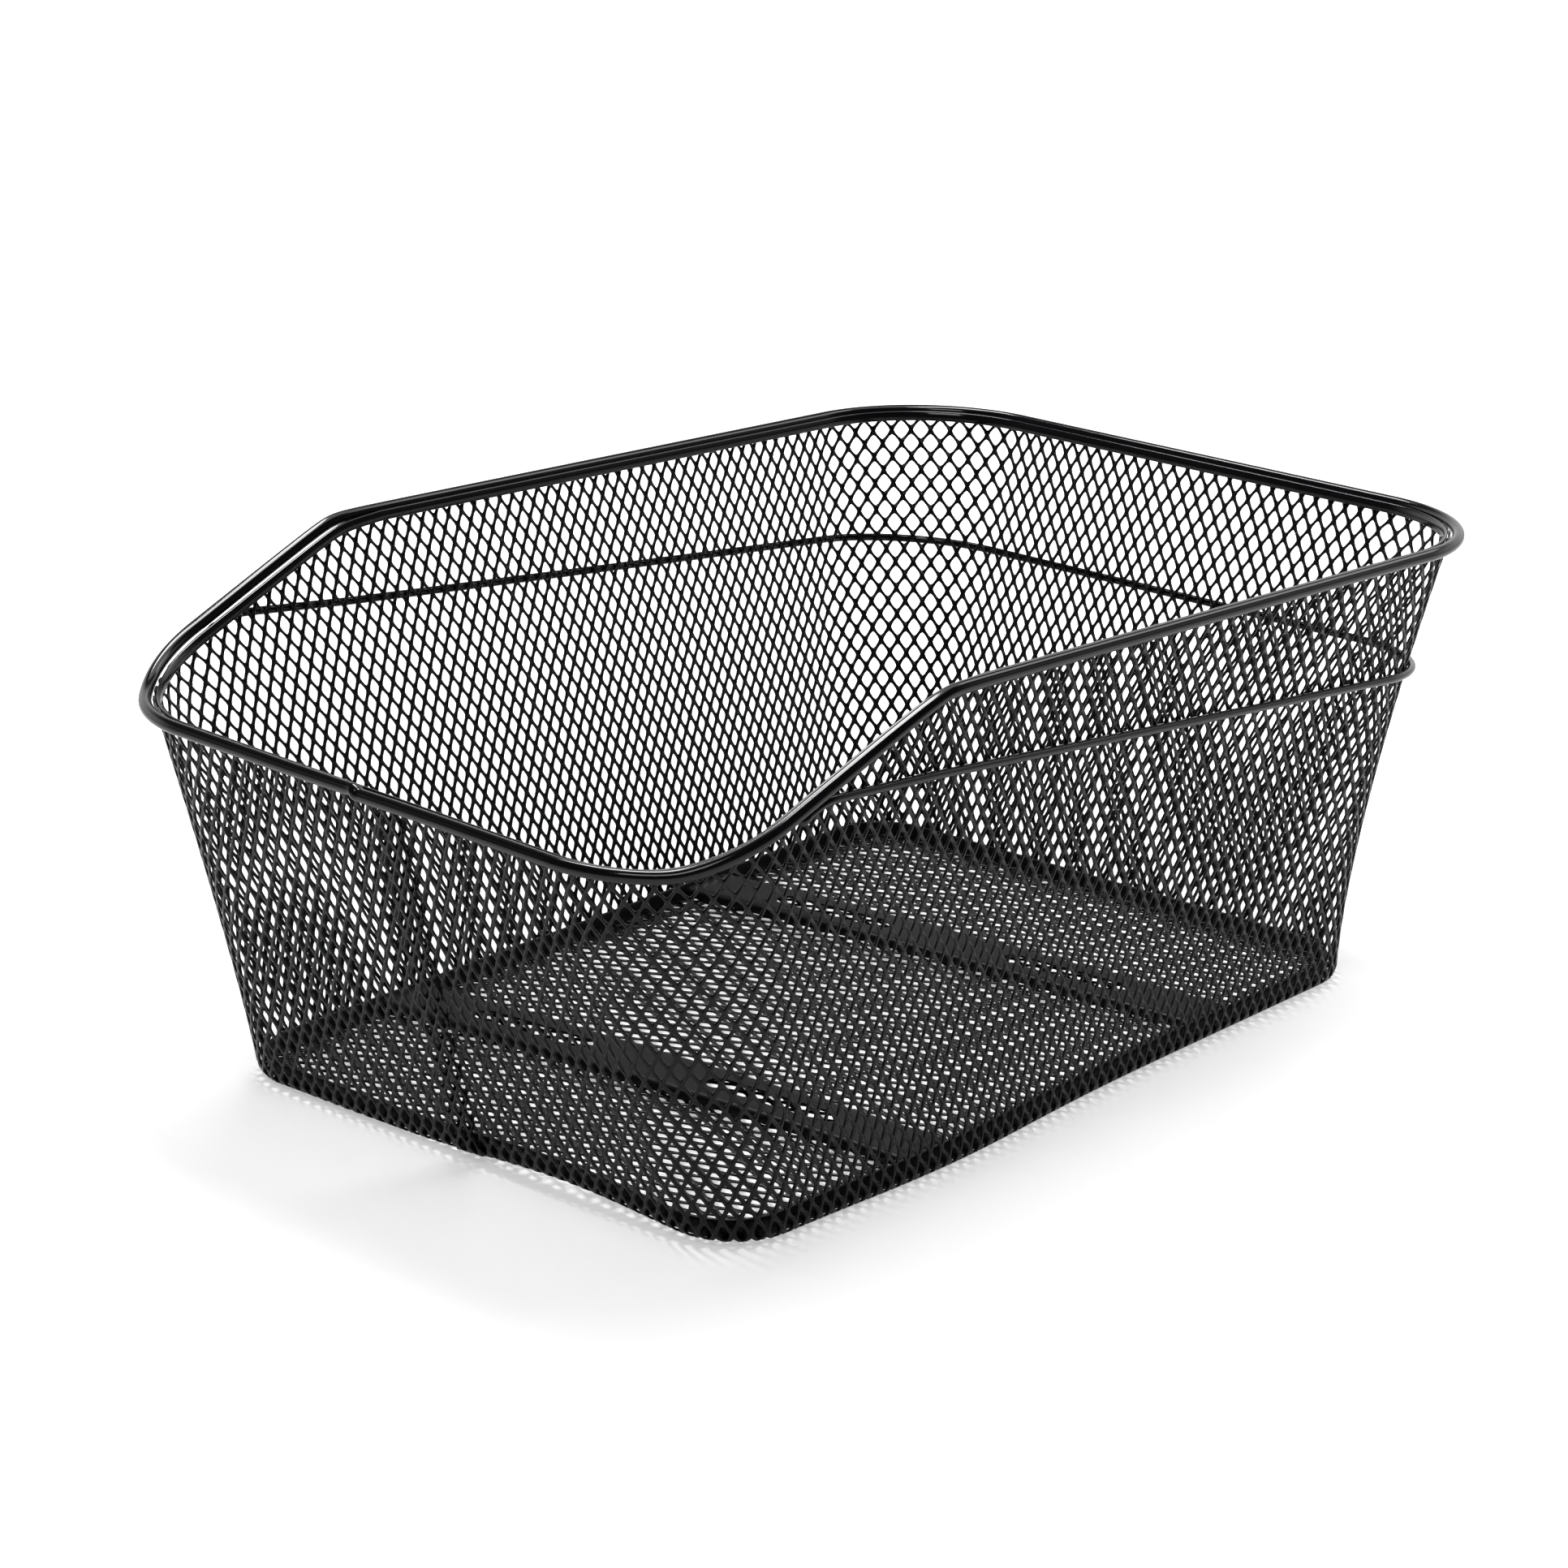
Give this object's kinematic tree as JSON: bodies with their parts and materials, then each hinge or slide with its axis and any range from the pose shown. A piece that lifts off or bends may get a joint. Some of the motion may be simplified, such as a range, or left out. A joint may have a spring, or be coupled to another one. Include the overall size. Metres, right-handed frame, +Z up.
{
  "type": "bicycle basket",
  "caption": "Tapered expanded-metal bicycle basket for a rear carrier, with a lowered front end, a round wire rim, a reinforcing wire and slotted floor straps for clamp bolts.",
  "frame": {"origin": "middle of the basket's box, on the surface it stands on", "axes": "+X along the length towards the high rear end, +Y across the width, +Z up"},
  "size_m": [0.4334, 0.303, 0.1796],
  "materials": {
    "wire_paint": "glossy black powder coat",
    "sheet_paint": "satin black powder coat",
    "strip_paint": "satin black powder coat"
  },
  "bodies": {
    "root": {"rim_wire": "wire_paint", "rim_inner_band": "wire_paint", "mid_wire": "wire_paint", "wall_mesh": "sheet_paint", "floor_mesh": "sheet_paint", "floor_hoop": "strip_paint", "strap_front": "strip_paint", "strap_rear": "strip_paint"}
  },
  "joints": []
}
